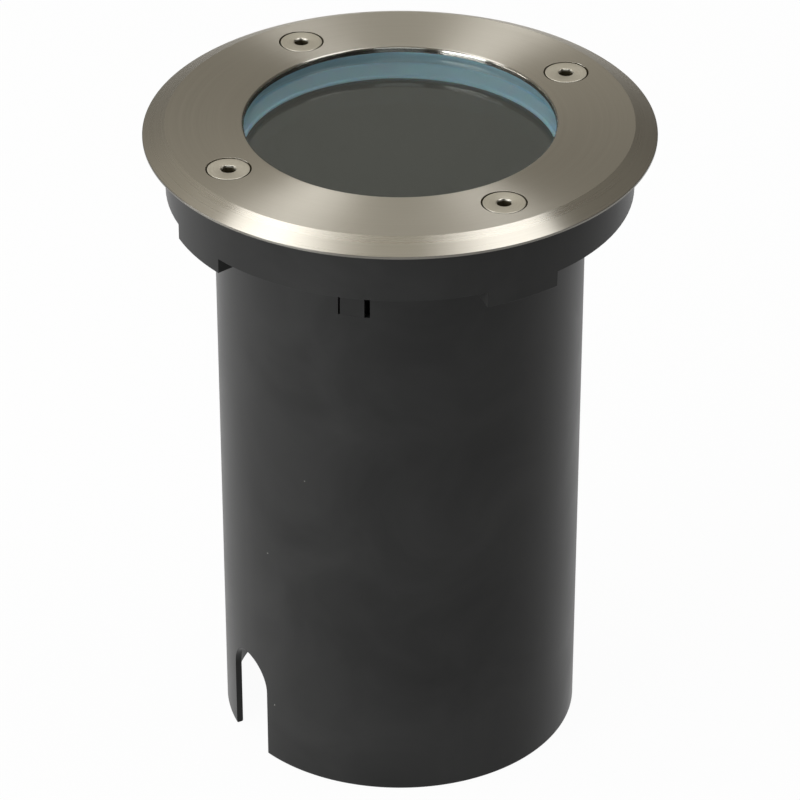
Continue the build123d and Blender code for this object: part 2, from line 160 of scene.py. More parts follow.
def radius_of(tree, place):
    """Return the distance of a place from the Z axis, and the way out from the axis to it."""
    outwards = vector_calc(tree, "MULTIPLY", place, (1.0, 1.0, 0.0))["Vector"]
    return vector_calc(tree, "LENGTH", outwards)["Value"], outwards


def new_group(name, kind, inputs, outputs):
    """Start a node group with named sockets; return it with its input and output nodes."""
    tree = bpy.data.node_groups.new(name, kind)
    for label, socket in inputs.items():
        tree.interface.new_socket(name=label, in_out="INPUT", socket_type="NodeSocket" + socket)
    for label, socket in outputs.items():
        tree.interface.new_socket(name=label, in_out="OUTPUT", socket_type="NodeSocket" + socket)
    return tree, tree.nodes.new("NodeGroupInput"), tree.nodes.new("NodeGroupOutput")


# Geometry node trees

def column_and_row(tree, rows):
    """Return each grid point's column and its row, both counted from 0."""
    index = add_node(tree, "GeometryNodeInputIndex").outputs[0]
    column = calc(tree, "FLOOR", calc(tree, "DIVIDE", calc(tree, "ADD", index, 0.5), rows))
    return column, calc(tree, "SUBTRACT", index, calc(tree, "MULTIPLY", column, rows))


def place_about_axis(tree, radius, angle, height):
    """Return the place at a radius and an angle about the Z axis, at a height."""
    return add_node(tree, "ShaderNodeCombineXYZ", {
        "X": calc(tree, "MULTIPLY", radius, calc(tree, "COSINE", angle)),
        "Y": calc(tree, "MULTIPLY", radius, calc(tree, "SINE", angle)),
        "Z": height,
    }).outputs[0]


def finish_tree(tree, shape, material, result):
    """End a tree: merge doubles, shade smooth, make instances real and set the material."""
    closed = add_node(tree, "GeometryNodeMergeByDistance", {"Geometry": shape, "Distance": SAME_PLACE})
    smooth = add_node(tree, "GeometryNodeSetShadeSmooth", {"Geometry": closed.outputs[0]})
    plain = add_node(tree, "GeometryNodeRealizeInstances", {"Geometry": smooth.outputs[0]})
    finish = add_node(tree, "GeometryNodeSetMaterial", {"Geometry": plain.outputs[0], "Material": material})
    tree.links.new(finish.outputs[0], result.inputs["Piece"])
    return tree


def turning_tree():
    """Build the tree that turns a section, its corners eased, about the Z axis."""
    tree, given, result = new_group("turned_section", "GeometryNodeTree", {
        "Section": "Geometry", "Steps": "Int", "Ease Steps": "Int", "Material": "Material",
    }, {"Piece": "Geometry"})
    ease = add_node(tree, "GeometryNodeInputNamedAttribute", {"Name": "ease"}, data_type="FLOAT")
    outline = add_node(tree, "GeometryNodeMeshToCurve", {"Mesh": given.outputs["Section"]})
    eased = add_node(tree, "GeometryNodeFilletCurve", {
        "Curve": outline.outputs[0], "Radius": ease.outputs["Attribute"], "Limit Radius": True,
        "Count": given.outputs["Ease Steps"],
    }, mode="POLY")
    points = add_node(tree, "GeometryNodeCurveToPoints", {"Curve": eased.outputs[0]}, mode="EVALUATED")
    size = add_node(tree, "GeometryNodeAttributeDomainSize", {"Geometry": points.outputs["Points"]},
                    component="POINTCLOUD")
    count = size.outputs["Point Count"]
    rows = calc(tree, "ADD", count, 1.0)
    columns = calc(tree, "ADD", given.outputs["Steps"], 1.0)
    grid = add_node(tree, "GeometryNodeMeshGrid", {"Vertices X": columns, "Vertices Y": rows})
    column, row = column_and_row(tree, rows)
    place = add_node(tree, "GeometryNodeInputPosition").outputs[0]
    sample = add_node(tree, "GeometryNodeSampleIndex", {
        "Geometry": points.outputs["Points"], "Value": place, "Index": calc(tree, "MODULO", row, count),
    }, data_type="FLOAT_VECTOR", domain="POINT")
    section = split(tree, sample.outputs[0])
    angle = calc(tree, "DIVIDE", calc(tree, "MULTIPLY", column, 2 * pi), given.outputs["Steps"])
    turned = place_about_axis(tree, section["X"], angle, section["Y"])
    shape = add_node(tree, "GeometryNodeSetPosition", {"Geometry": grid.outputs["Mesh"], "Position": turned})
    return finish_tree(tree, shape.outputs[0], given.outputs["Material"], result)


def thread_tree():
    """Build the tree that winds a screw thread about the Z axis, from one height to another."""
    tree, given, result = new_group("wound_thread", "GeometryNodeTree", {
        "Low": "Float", "High": "Float", "Core": "Float", "Crest": "Float", "Pitch": "Float", "Steps": "Int",
        "Material": "Material",
    }, {"Piece": "Geometry"})
    size = given.outputs
    pitch_rows = 4.0
    turns = calc(tree, "DIVIDE", calc(tree, "SUBTRACT", size["High"], size["Low"]), size["Pitch"])
    rows = calc(tree, "MULTIPLY_ADD", calc(tree, "CEIL", turns), pitch_rows, 2 * pitch_rows + 1)
    columns = calc(tree, "ADD", size["Steps"], 1.0)
    grid = add_node(tree, "GeometryNodeMeshGrid", {"Vertices X": columns, "Vertices Y": rows})
    column, row = column_and_row(tree, rows)
    turned = calc(tree, "DIVIDE", column, size["Steps"])
    level = calc(tree, "ADD", calc(tree, "MULTIPLY_ADD", row, 1 / pitch_rows, -1.0), turned)
    wound = calc(tree, "MULTIPLY_ADD", level, size["Pitch"], size["Low"])
    height = calc(tree, "MINIMUM", calc(tree, "MAXIMUM", wound, size["Low"]), size["High"])
    ridge = calc(tree, "GREATER_THAN", calc(tree, "MODULO", row, pitch_rows), 1.5)
    between_ends = calc(tree, "COMPARE", wound, height, 0.1 * SAME_PLACE)
    rise = calc(tree, "MULTIPLY", calc(tree, "MULTIPLY", ridge, between_ends),
                calc(tree, "SUBTRACT", size["Crest"], size["Core"]))
    radius = calc(tree, "ADD", size["Core"], rise)
    place = place_about_axis(tree, radius, calc(tree, "MULTIPLY", turned, 2 * pi), height)
    shape = add_node(tree, "GeometryNodeSetPosition", {"Geometry": grid.outputs["Mesh"], "Position": place})
    return finish_tree(tree, shape.outputs[0], size["Material"], result)


def facet_tree():
    """Build the tree that forms a honeycomb of small domes in a piece's flat top."""
    tree, given, result = new_group("lens_facets", "GeometryNodeTree", {
        "Plain": "Geometry", "Size": "Float", "Depth": "Float", "Reach": "Float", "Level": "Float",
        "Material": "Material",
    }, {"Piece": "Geometry"})
    size = given.outputs
    place = add_node(tree, "GeometryNodeInputPosition").outputs[0]
    radius, flat = radius_of(tree, place)
    cell = add_node(tree, "ShaderNodeCombineXYZ", {
        "X": size["Size"], "Y": calc(tree, "MULTIPLY", size["Size"], sqrt(3)), "Z": 1.0,
    }).outputs[0]
    distances = []
    for share in (0.5, 1.0):
        shifted = vector_calc(tree, "MULTIPLY_ADD", cell, (share, share, 0.0), flat)["Vector"]
        corner = vector_calc(tree, "SNAP", shifted, cell)["Vector"]
        centre = vector_calc(tree, "MULTIPLY_ADD", cell, (0.5, 0.5, 0.0), corner)["Vector"]
        distances.append(vector_calc(tree, "DISTANCE", shifted, centre)["Value"])
    corner_reach = calc(tree, "DIVIDE", size["Size"], sqrt(3))
    near = calc(tree, "DIVIDE", calc(tree, "MINIMUM", *distances), corner_reach)
    on_top = calc(tree, "MULTIPLY", calc(tree, "COMPARE", split(tree, place)["Z"], size["Level"], SAME_PLACE),
                  calc(tree, "LESS_THAN", radius, size["Reach"]))
    depth = calc(tree, "MULTIPLY", on_top, size["Depth"])
    drop = calc(tree, "MULTIPLY", calc(tree, "MULTIPLY", near, near), depth)
    offset = add_node(tree, "ShaderNodeCombineXYZ", {"Z": calc(tree, "MULTIPLY", drop, -1.0)}).outputs[0]
    shape = add_node(tree, "GeometryNodeSetPosition", {"Geometry": size["Plain"], "Offset": offset})
    return finish_tree(tree, shape.outputs[0], size["Material"], result)


TURNED_SECTION = turning_tree()
WOUND_THREAD = thread_tree()
LENS_FACETS = facet_tree()


# Mesh helpers

def new_piece(name, mesh):
    """Put a mesh in the scene as a piece at the origin."""
    piece = bpy.data.objects.new(name, mesh)
    bpy.context.scene.collection.objects.link(piece)
    return piece


def settle(piece):
    """Turn a piece's modifiers into plain mesh."""
    graph = bpy.context.evaluated_depsgraph_get()
    shaped = piece.evaluated_get(graph)
    mesh = bpy.data.meshes.new_from_object(shaped, preserve_all_data_layers=True, depsgraph=graph)
    piece.modifiers.clear()
    piece.data = mesh
    return piece


def face_outwards(piece):
    """Merge a piece's doubles, drop what is loose, and turn its faces outwards."""
    shape = bmesh.new()
    shape.from_mesh(piece.data)
    bmesh.ops.remove_doubles(shape, verts=shape.verts, dist=SAME_PLACE)
    bmesh.ops.dissolve_degenerate(shape, edges=shape.edges, dist=0.1 * SAME_PLACE)
    bmesh.ops.delete(shape, geom=[edge for edge in shape.edges if not edge.link_faces], context="EDGES")
    bmesh.ops.delete(shape, geom=[vert for vert in shape.verts if not vert.link_faces], context="VERTS")
    bmesh.ops.recalc_face_normals(shape, faces=shape.faces)
    shape.to_mesh(piece.data)
    shape.free()
    return piece


def run_tree(piece, tree, material, **values):
    """Run a geometry tree on a piece's mesh and keep the result as plain mesh."""
    modifier = piece.modifiers.new(tree.name, "NODES")
    modifier.node_group = tree
    values = {label.replace("_", " ").title(): value for label, value in values.items()}
    values["Material"] = material
    for socket in tree.interface.items_tree:
        if socket.in_out == "INPUT" and socket.name in values:
            modifier[socket.identifier] = values[socket.name]
    settle(piece)
    piece.data.materials.clear()
    piece.data.materials.append(material)
    piece.data.polygons.foreach_set("material_index", [0] * len(piece.data.polygons))
    return face_outwards(piece)


def point_beside(corner, other, ease, reach):
    """Return the point beside an eased corner that keeps a long run flat, or nothing on a short run."""
    run = other - corner
    if ease and run.length > LEAST_RUN * reach:
        return [(*(corner + run.normalized() * reach), 0.0)]
    return []


def section_mesh(name, corners):
    """Draw a closed section from (radius, height, ease) corners, in millimetres."""
    points = []
    for number, (radius, height, ease) in enumerate(corners):
        here = Vector((radius, height))
        before = Vector(corners[number - 1][:2])
        after = Vector(corners[(number + 1) % len(corners)][:2])
        turn = abs((here - before).angle_signed(after - here, 0.0))
        reach = EASE_CLEARANCE * ease * tan(turn / 2) + FLAT_MARGIN
        points += point_beside(here, before, ease, reach)
        points.append((radius, height, ease))
        points += point_beside(here, after, ease, reach)
    mesh = bpy.data.meshes.new(name)
    edges = [(i, (i + 1) % len(points)) for i in range(len(points))]
    mesh.from_pydata([(radius * MM, height * MM, 0) for radius, height, ease in points], edges, [])
    eases = mesh.attributes.new("ease", "FLOAT", "POINT")
    eases.data.foreach_set("value", [ease * MM for radius, height, ease in points])
    return mesh


def turned_piece(name, corners, material, steps=192, ease_steps=4):
    """Make a piece turned about the Z axis from a section with eased corners."""
    piece = new_piece(name, section_mesh(name, corners))
    return run_tree(piece, TURNED_SECTION, material, steps=steps, ease_steps=ease_steps)


def threaded_rod(name, low, high, core, crest, pitch, material, steps=48):
    """Make a rod with a screw thread and closed ends, on the Z axis."""
    rod = new_piece(name, bpy.data.meshes.new(name))
    run_tree(rod, WOUND_THREAD, material, low=low * MM, high=high * MM, core=core * MM, crest=crest * MM,
             pitch=pitch * MM, steps=steps)
    shape = bmesh.new()
    shape.from_mesh(rod.data)
    bmesh.ops.holes_fill(shape, edges=shape.edges)
    bmesh.ops.recalc_face_normals(shape, faces=shape.faces)
    shape.to_mesh(rod.data)
    shape.free()
    rod.data.set_sharp_from_angle(angle=radians(30))
    return rod


def cad_copy(name, node, material):
    """Copy a CAD node's mesh into a piece, with its doubles merged and its flat faces whole."""
    shape = bmesh.new()
    shape.from_mesh(bpy.data.objects[node].data)
    bmesh.ops.remove_doubles(shape, verts=shape.verts, dist=2 * SAME_PLACE)
    bmesh.ops.dissolve_limit(shape, angle_limit=radians(0.2), verts=shape.verts, edges=shape.edges)
    mesh = bpy.data.meshes.new(name)
    shape.to_mesh(mesh)
    shape.free()
    mesh.materials.append(material)
    return new_piece(name, mesh)


def ease_edges(piece, width, angle=38, segments=2):
    """Round a piece's sharp edges a little and keep its flat faces flat."""
    bevel = piece.modifiers.new("eased_edges", "BEVEL")
    bevel.width = width * MM
    bevel.segments = segments
    bevel.limit_method = "ANGLE"
    bevel.angle_limit = radians(angle)
    bevel.use_clamp_overlap = True
    settle(piece)
    piece.data.shade_smooth()
    normals = piece.modifiers.new("flat_faces", "WEIGHTED_NORMAL")
    normals.weight = 60
    return settle(piece)


def cut(piece, *cutters):
    """Cut other pieces' shapes out of a piece."""
    for cutter in cutters:
        cutter.data.materials.clear()
        cutter.data.materials.append(piece.data.materials[0])
        modifier = piece.modifiers.new("cut", "BOOLEAN")
        modifier.operation = "DIFFERENCE"
        modifier.solver = "EXACT"
        modifier.object = cutter
    settle(piece)
    for cutter in cutters:
        bpy.data.objects.remove(cutter)
    return face_outwards(piece)


def join(piece, *others):
    """Join other pieces' meshes into a piece."""
    shape = bmesh.new()
    for each in (piece, *others):
        shape.from_mesh(each.data)
    shape.to_mesh(piece.data)
    shape.free()
    for other in others:
        bpy.data.objects.remove(other)
    return piece


def move(piece, matrix):
    """Move a piece's mesh, and leave the piece at the origin."""
    piece.data.transform(matrix)
    return piece


def about_axis(angle, radius=0.0):
    """Return the move from the Z axis out to a radius, turned to an angle in degrees."""
    return Matrix.Rotation(radians(angle), 4, "Z") @ Matrix.Translation((radius * MM, 0, 0))


def prism(name, outline, low, high):
    """Make a straight-sided piece from (x, y) points between two heights."""
    shape = bmesh.new()
    rings = [[shape.verts.new((x * MM, y * MM, z * MM)) for x, y in outline] for z in (low, high)]
    shape.faces.new(reversed(rings[0]))
    shape.faces.new(rings[1])
    for i in range(len(outline)):
        j = (i + 1) % len(outline)
        shape.faces.new((rings[0][i], rings[0][j], rings[1][j], rings[1][i]))
    mesh = bpy.data.meshes.new(name)
    shape.to_mesh(mesh)
    shape.free()
    return new_piece(name, mesh)


# Shared shader groups

def noise(tree, place, scale, detail, **more):
    """Return a noise value at a place."""
    inputs = {"Vector": place, "Scale": scale, "Detail": detail, **more}
    return add_node(tree, "ShaderNodeTexNoise", inputs).outputs[0]


def ring_brushing_group():
    """Build the group for fine brush lines that run round the Z axis, and for broader bands of them."""
    tree, given, result = new_group("ring_brushing", "ShaderNodeTree", {
        "Place": "Vector", "Lines": "Float",
    }, {"Line": "Float", "Band": "Float"})
    around = 1.6
    radius, outwards = radius_of(tree, given.outputs["Place"])
    way = split(tree, vector_calc(tree, "NORMALIZE", outwards)["Vector"])
    height = split(tree, given.outputs["Place"])["Z"]
    across = calc(tree, "ADD", calc(tree, "MULTIPLY", radius, given.outputs["Lines"]),
                  calc(tree, "MULTIPLY", height, given.outputs["Lines"]))
    place = add_node(tree, "ShaderNodeCombineXYZ", {
        "X": across,
        "Y": calc(tree, "MULTIPLY", way["X"], around),
        "Z": calc(tree, "MULTIPLY", way["Y"], around),
    }).outputs[0]
    tree.links.new(noise(tree, place, 1.0, 3.0, Roughness=0.7), result.inputs["Line"])
    tree.links.new(noise(tree, place, 0.13, 2.0), result.inputs["Band"])
    return tree


def moulded_grain_group():
    """Build the group for the fine grain and the faint flow tones of a moulded surface."""
    tree, given, result = new_group("moulded_grain", "ShaderNodeTree", {
        "Place": "Vector", "Grain": "Float",
    }, {"Height": "Float", "Tone": "Float"})
    place = given.outputs["Place"]
    fine = noise(tree, place, given.outputs["Grain"], 3.0, Roughness=0.6)
    flow = noise(tree, place, 38.0, 4.0, Roughness=0.55, Distortion=0.6)
    tree.links.new(fine, result.inputs["Height"])
    tree.links.new(flow, result.inputs["Tone"])
    return tree


def dust_group():
    """Build the group for scattered dust specks of uneven size."""
    tree, given, result = new_group("settled_dust", "ShaderNodeTree", {
        "Place": "Vector", "Specks": "Float", "Size": "Float",
    }, {"Dust": "Float"})
    bare_share = 0.72
    cells = add_node(tree, "ShaderNodeTexVoronoi", {
        "Vector": given.outputs["Place"], "Scale": given.outputs["Specks"], "Randomness": 1.0,
    })
    chance = add_node(tree, "ShaderNodeSeparateColor", {0: cells.outputs["Color"]}).outputs
    dusty = calc(tree, "GREATER_THAN", chance[0], bare_share)
    grown = calc(tree, "MULTIPLY", given.outputs["Size"], chance[1])
    speck = calc(tree, "LESS_THAN", cells.outputs["Distance"], grown)
    tree.links.new(calc(tree, "MULTIPLY", dusty, speck), result.inputs["Dust"])
    return tree


RING_BRUSHING = ring_brushing_group()
MOULDED_GRAIN = moulded_grain_group()
SETTLED_DUST = dust_group()


# Material helpers

def start_material(name, attribute=None, **values):
    """Start a material with its shader's constant values; return it, its tree, its shader and the place.

    The place is read from Object coordinates, or from the piece's own attribute where one is named.
    """
    material = bpy.data.materials.new(name)
    material.use_nodes = True
    tree = material.node_tree
    shader = tree.nodes["Principled BSDF"]
    for label, value in values.items():
        shader.inputs[label.replace("_", " ")].default_value = value
    if attribute:
        place = add_node(tree, "ShaderNodeAttribute", attribute_name=attribute).outputs["Vector"]
    else:
        place = add_node(tree, "ShaderNodeTexCoord").outputs["Object"]
    return material, tree, shader, place


def use_group(tree, group, **inputs):
    """Place a shared group in a material and return its outputs."""
    return add_node(tree, "ShaderNodeGroup", inputs, node_tree=group).outputs


def spread(tree, value, low, high, start=0.3, end=0.7):
    """Return a value mapped from start..end to low..high."""
    return add_node(tree, "ShaderNodeMapRange", {
        "Value": value, "From Min": start, "From Max": end, "To Min": low, "To Max": high,
    }).outputs[0]


def between(tree, mask, first, second):
    """Return a value that goes from the first to the second as a mask goes from 0 to 1."""
    return spread(tree, mask, first, second, 0.0, 1.0)


def blend(tree, factor, first, second):
    """Return a colour mixed from two colours, which go to the Mix node's sockets 6 and 7."""
    colours = {}
    for socket, value in ((6, first), (7, second)):
        colours[socket] = value if isinstance(value, bpy.types.NodeSocket) else (*value, 1.0)
    return add_node(tree, "ShaderNodeMix", {"Factor": factor, **colours}, data_type="RGBA").outputs[2]


def shaded(colour, share):
    """Return a colour made darker or paler by a share."""
    return tuple(share * part for part in colour)


def feed(tree, shader, **sources):
    """Link sources to a shader's inputs."""
    for label, source in sources.items():
        tree.links.new(source, shader.inputs[label.replace("_", " ")])


def bump(tree, shader, height, strength, depth):
    """Feed a height, with its depth in millimetres, into a shader's normal."""
    node = add_node(tree, "ShaderNodeBump", {"Height": height, "Strength": strength, "Distance": depth * MM})
    feed(tree, shader, Normal=node.outputs[0])


# Materials

# Painted shade: darker steel painted on the trim opening's polished chamfer
SHADED_CHAMFER_STEEL = (0.42, 0.40, 0.36)
# Painted shade: darker steel painted on the trim's outer rim edge, in place of its highlight
SHADED_RIM_STEEL = (0.2, 0.19, 0.17)
# Brown grime for the screw sockets, also painted as shade in the gaps round the screw heads
GRIME_AND_GAP_SHADE = (0.045, 0.034, 0.014)
GRIME_AND_GAP_SHADE_ROUGHNESS = 0.8
PALE_DUST = (0.42, 0.41, 0.38)
SILICONE_BLUE = (0.56, 0.87, 1.0)
CHIP_YELLOW = (0.85, 0.58, 0.08)


def feed_steel_grime_and_shade(tree, shader, tone, roughness, grime_and_shade, outwards):
    """Feed steel's tone and roughness into a shader, with dull brown where the mask is 1: grime, and painted
    shade in the gaps round the screw heads.
    """
    feed(tree, shader, Base_Color=blend(tree, grime_and_shade, tone, GRIME_AND_GAP_SHADE), Metallic=between(tree, grime_and_shade, 1.0, 0.0),
         Roughness=between(tree, grime_and_shade, roughness, GRIME_AND_GAP_SHADE_ROUGHNESS), Tangent=outwards)


def distance_from_screw(tree, place):
    """Return the distance of a place from the nearest trim screw's axis."""
    folded = split(tree, vector_calc(tree, "ABSOLUTE", place)["Vector"])
    reach = calc(tree, "MAXIMUM", folded["X"], folded["Y"])
    beside = calc(tree, "MINIMUM", folded["X"], folded["Y"])
    beyond = calc(tree, "ABSOLUTE", calc(tree, "SUBTRACT", reach, SCREW_CIRCLE_R * MM))
    squares = [calc(tree, "POWER", part, 2.0) for part in (beyond, beside)]
    return calc(tree, "SQRT", calc(tree, "ADD", *squares))


def brushed_steel():
    """Make the trim's ring-brushed steel: smoother bevel, painted shade as darker steel on the opening's
    chamfer and the outer rim edge, and brown painted as shade in the countersinks.
    """
    material, tree, shader, place = start_material("trim_steel", Anisotropic=0.95)
    rings = use_group(tree, RING_BRUSHING, Place=place, Lines=11000.0)
    radius, outwards = radius_of(tree, place)
    wall = spread(tree, radius, 1.0, 0.0, (OPENING_R + 0.25) * MM, (OPENING_R + OPENING_BREAK) * MM)
    rim = spread(tree, radius, 0.0, 1.0, (TRIM_R - 0.1) * MM, (TRIM_R - 0.03) * MM)
    bevel = calc(tree, "GREATER_THAN", radius, TRIM_FLAT_R * MM)
    sunk = calc(tree, "LESS_THAN", split(tree, place)["Z"], (TRIM_TOP - 0.1) * MM)
    # Painted shade: the countersinks take the grime brown, as the shade in the gap round each screw head
    in_sink = calc(tree, "LESS_THAN", distance_from_screw(tree, place), (SINK_R + 0.02) * MM)
    tone = blend(tree, spread(tree, rings["Line"], 0.0, 1.0), (0.545, 0.51, 0.45), (0.595, 0.56, 0.497))
    # Painted shade: the opening's chamfer takes a darker steel tone
    tone = blend(tree, wall, tone, SHADED_CHAMFER_STEEL)
    # Painted shade: the outer rim edge takes a darker steel tone
    tone = blend(tree, rim, tone, SHADED_RIM_STEEL)
    brushed = calc(tree, "ADD", spread(tree, rings["Line"], 0.365, 0.405),
                   spread(tree, rings["Band"], -0.02, 0.02))
    face = calc(tree, "SUBTRACT", brushed, calc(tree, "MULTIPLY", bevel, 0.1))
    roughness = between(tree, wall, face, 0.2)
    feed_steel_grime_and_shade(tree, shader, tone, roughness, calc(tree, "MULTIPLY", sunk, in_sink), outwards)
    bump(tree, shader, rings["Line"], strength=0.03, depth=0.01)
    return material


def screw_steel():
    """Make the screws' stainless steel: faced heads, grime down in the sockets, and brown painted as shade
    round the head rims.
    """
    material, tree, shader, place = start_material("screw_steel", "own_place", Anisotropic=0.2)
    rings = use_group(tree, RING_BRUSHING, Place=place, Lines=9000.0)
    radius, outwards = radius_of(tree, place)
    height = split(tree, place)["Z"]
    deep = spread(tree, height, 1.0, 0.0, (TRIM_TOP - 0.6) * MM, (TRIM_TOP - 0.3) * MM)
    socket = calc(tree, "MULTIPLY", deep, calc(tree, "LESS_THAN", radius, 0.66 * SOCKET_WIDTH * MM))
    below_face = calc(tree, "LESS_THAN", height, (TRIM_TOP - 0.17) * MM)
    # Painted shade: the head's rim below its face takes the grime brown, as the shade in the gap
    rim = calc(tree, "MULTIPLY", below_face, calc(tree, "GREATER_THAN", radius, (HEAD_R - 0.1) * MM))
    tone = blend(tree, spread(tree, rings["Line"], 0.0, 1.0), (0.69, 0.65, 0.565), (0.81, 0.77, 0.68))
    roughness = spread(tree, rings["Line"], 0.36, 0.44)
    feed_steel_grime_and_shade(tree, shader, tone, roughness, calc(tree, "MAXIMUM", socket, rim), outwards)
    bump(tree, shader, rings["Line"], strength=0.05, depth=0.02)
    return material


def moulded_plastic(name, colour, roughness, grain, specular=0.5, dusty=0.0):
    """Make a moulded surface with a fine grain, faint flow tones and, where asked, a little dust."""
    material, tree, shader, place = start_material(name, Specular_IOR_Level=specular)
    surface = use_group(tree, MOULDED_GRAIN, Place=place, Grain=grain)
    tone = blend(tree, spread(tree, surface["Tone"], 0.0, 1.0), shaded(colour, 0.8), shaded(colour, 1.3))
    if dusty:
        dust = use_group(tree, SETTLED_DUST, Place=place, Specks=210.0, Size=dusty)
        tone = blend(tree, dust["Dust"], tone, PALE_DUST)
    feed(tree, shader, Base_Color=tone,
         Roughness=spread(tree, surface["Tone"], roughness - 0.04, roughness + 0.04))
    bump(tree, shader, surface["Height"], strength=0.12, depth=0.04)
    return material


def plain_metal(name, colour, roughness):
    """Make a plain metal with faint drawn marks and tarnish."""
    material, tree, shader, place = start_material(name, Metallic=1.0)
    surface = use_group(tree, MOULDED_GRAIN, Place=place, Grain=1400.0)
    feed(tree, shader,
         Base_Color=blend(tree, spread(tree, surface["Tone"], 0.0, 1.0), shaded(colour, 0.78), colour),
         Roughness=spread(tree, surface["Height"], roughness - 0.07, roughness + 0.07))
    bump(tree, shader, surface["Height"], strength=0.06, depth=0.03)
    return material


def clear_glass():
    """Make the thick front glass, faintly blue, with a trace of smears."""
    material, tree, shader, place = start_material(
        "clear_glass", Transmission_Weight=1.0, IOR=1.5, Metallic=0.0, Specular_Tint=(0.86, 1.0, 0.98, 1.0))
    smears = noise(tree, place, 60.0, 3.0, Distortion=1.2)
    feed(tree, shader, Base_Color=blend(tree, smears, (0.94, 0.98, 1.0), (0.97, 0.99, 1.0)),
         Roughness=spread(tree, smears, 0.0, 0.03, 0.45, 0.8))
    return material


def ground_glass_edge():
    """Make the fine-ground rim of the glass: frosted, pale blue."""
    material, tree, shader, place = start_material("ground_glass_edge", Specular_IOR_Level=0.3)
    frost = use_group(tree, MOULDED_GRAIN, Place=place, Grain=2600.0)
    tone = blend(tree, spread(tree, frost["Tone"], 0.0, 1.0), (0.41, 0.61, 0.67), (0.47, 0.67, 0.73))
    feed(tree, shader, Base_Color=tone, Roughness=spread(tree, frost["Height"], 0.55, 0.75))
    bump(tree, shader, frost["Height"], strength=0.1, depth=0.03)
    return material


def gasket_silicone():
    """Make the gasket's pale blue, milky silicone."""
    material, tree, shader, place = start_material(
        "gasket_silicone", Subsurface_Weight=0.35, Subsurface_Scale=0.002)
    surface = use_group(tree, MOULDED_GRAIN, Place=place, Grain=900.0)
    tone = blend(tree, surface["Tone"], shaded(SILICONE_BLUE, 0.96), SILICONE_BLUE)
    feed(tree, shader, Base_Color=tone, Roughness=spread(tree, surface["Tone"], 0.38, 0.5))
    bump(tree, shader, surface["Height"], strength=0.08, depth=0.03)
    return material


def lens_plastic():
    """Make the clear plastic of the lamp's front lens."""
    material, tree, shader, place = start_material(
        "lens_plastic", Transmission_Weight=1.0, IOR=1.49, Metallic=0.0)
    haze = noise(tree, place, 240.0, 2.0)
    feed(tree, shader, Base_Color=blend(tree, haze, (0.95, 0.96, 0.95), (0.98, 0.98, 0.98)),
         Roughness=spread(tree, haze, 0.02, 0.09))
    return material


def led_board():
    """Make the lamp's white board with its yellow light-emitting chips."""
    material, tree, shader, place = start_material("board_white", Specular_IOR_Level=0.4)
    surface = use_group(tree, MOULDED_GRAIN, Place=place, Grain=1500.0)
    chip = calc(tree, "GREATER_THAN", split(tree, place)["Z"], (BOARD_TOP + CHIP_FOOT) * MM)
    white = blend(tree, surface["Tone"], (0.72, 0.72, 0.70), (0.82, 0.82, 0.80))
    feed(tree, shader, Base_Color=blend(tree, chip, white, CHIP_YELLOW),
         Roughness=between(tree, chip, 0.45, 0.25))
    bump(tree, shader, surface["Height"], strength=0.06, depth=0.03)
    return material


# Moulded finishes: colour, roughness, grain and, where they differ from the usual, specular level and dust
BLACK = (0.0198, 0.0195, 0.0191)
MOULDED = {
    "housing_plastic": (BLACK, 0.37, 1900.0, 0.12, 0.035),
    "sleeve_plastic": (BLACK, 0.36, 1900.0, 0.12, 0.03),
    "gland_plastic": ((0.016, 0.016, 0.016), 0.5, 1600.0, 0.4),
    "seal_rubber": ((0.02, 0.02, 0.02), 0.7, 1200.0, 0.3),
    "holder_ceramic": ((0.80, 0.77, 0.70), 0.32, 700.0),
    "terminal_plastic": ((0.74, 0.73, 0.68), 0.5, 1500.0),
    "live_insulation": ((0.25, 0.11, 0.05), 0.5, 1500.0),
    "neutral_insulation": ((0.06, 0.16, 0.42), 0.5, 1500.0),
    "lamp_white": ((0.80, 0.80, 0.78), 0.38, 1300.0),
}

# Finish of each material slot
FINISHES = {
    "trim_steel": brushed_steel(),
    "screw_steel": screw_steel(),
    "clear_glass": clear_glass(),
    "gasket_silicone": gasket_silicone(),
    "brass": plain_metal("brass", (0.78, 0.60, 0.30), roughness=0.3),
    "plated_steel": plain_metal("plated_steel", (0.66, 0.67, 0.68), roughness=0.36),
    "lens_plastic": lens_plastic(),
    "board_white": led_board(),
    **{name: moulded_plastic(name, *values) for name, values in MOULDED.items()},
}


def slot_of(node):
    """Return the material slot that the record gives a CAD node."""
    return next(part["material_slot"] for part in frame["record"]["subparts"] if part["node"] == node)


def stand_for(piece, node):
    """Let a piece stand for a CAD node: same body, and the node hidden."""
    bodies = frame["record"]["behaviour"]["bodies"]
    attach(piece, next(body for body, nodes in bodies.items() if node in nodes))
    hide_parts(node)


# Pieces: a section's corners are radius, height and the radius that eases the corner

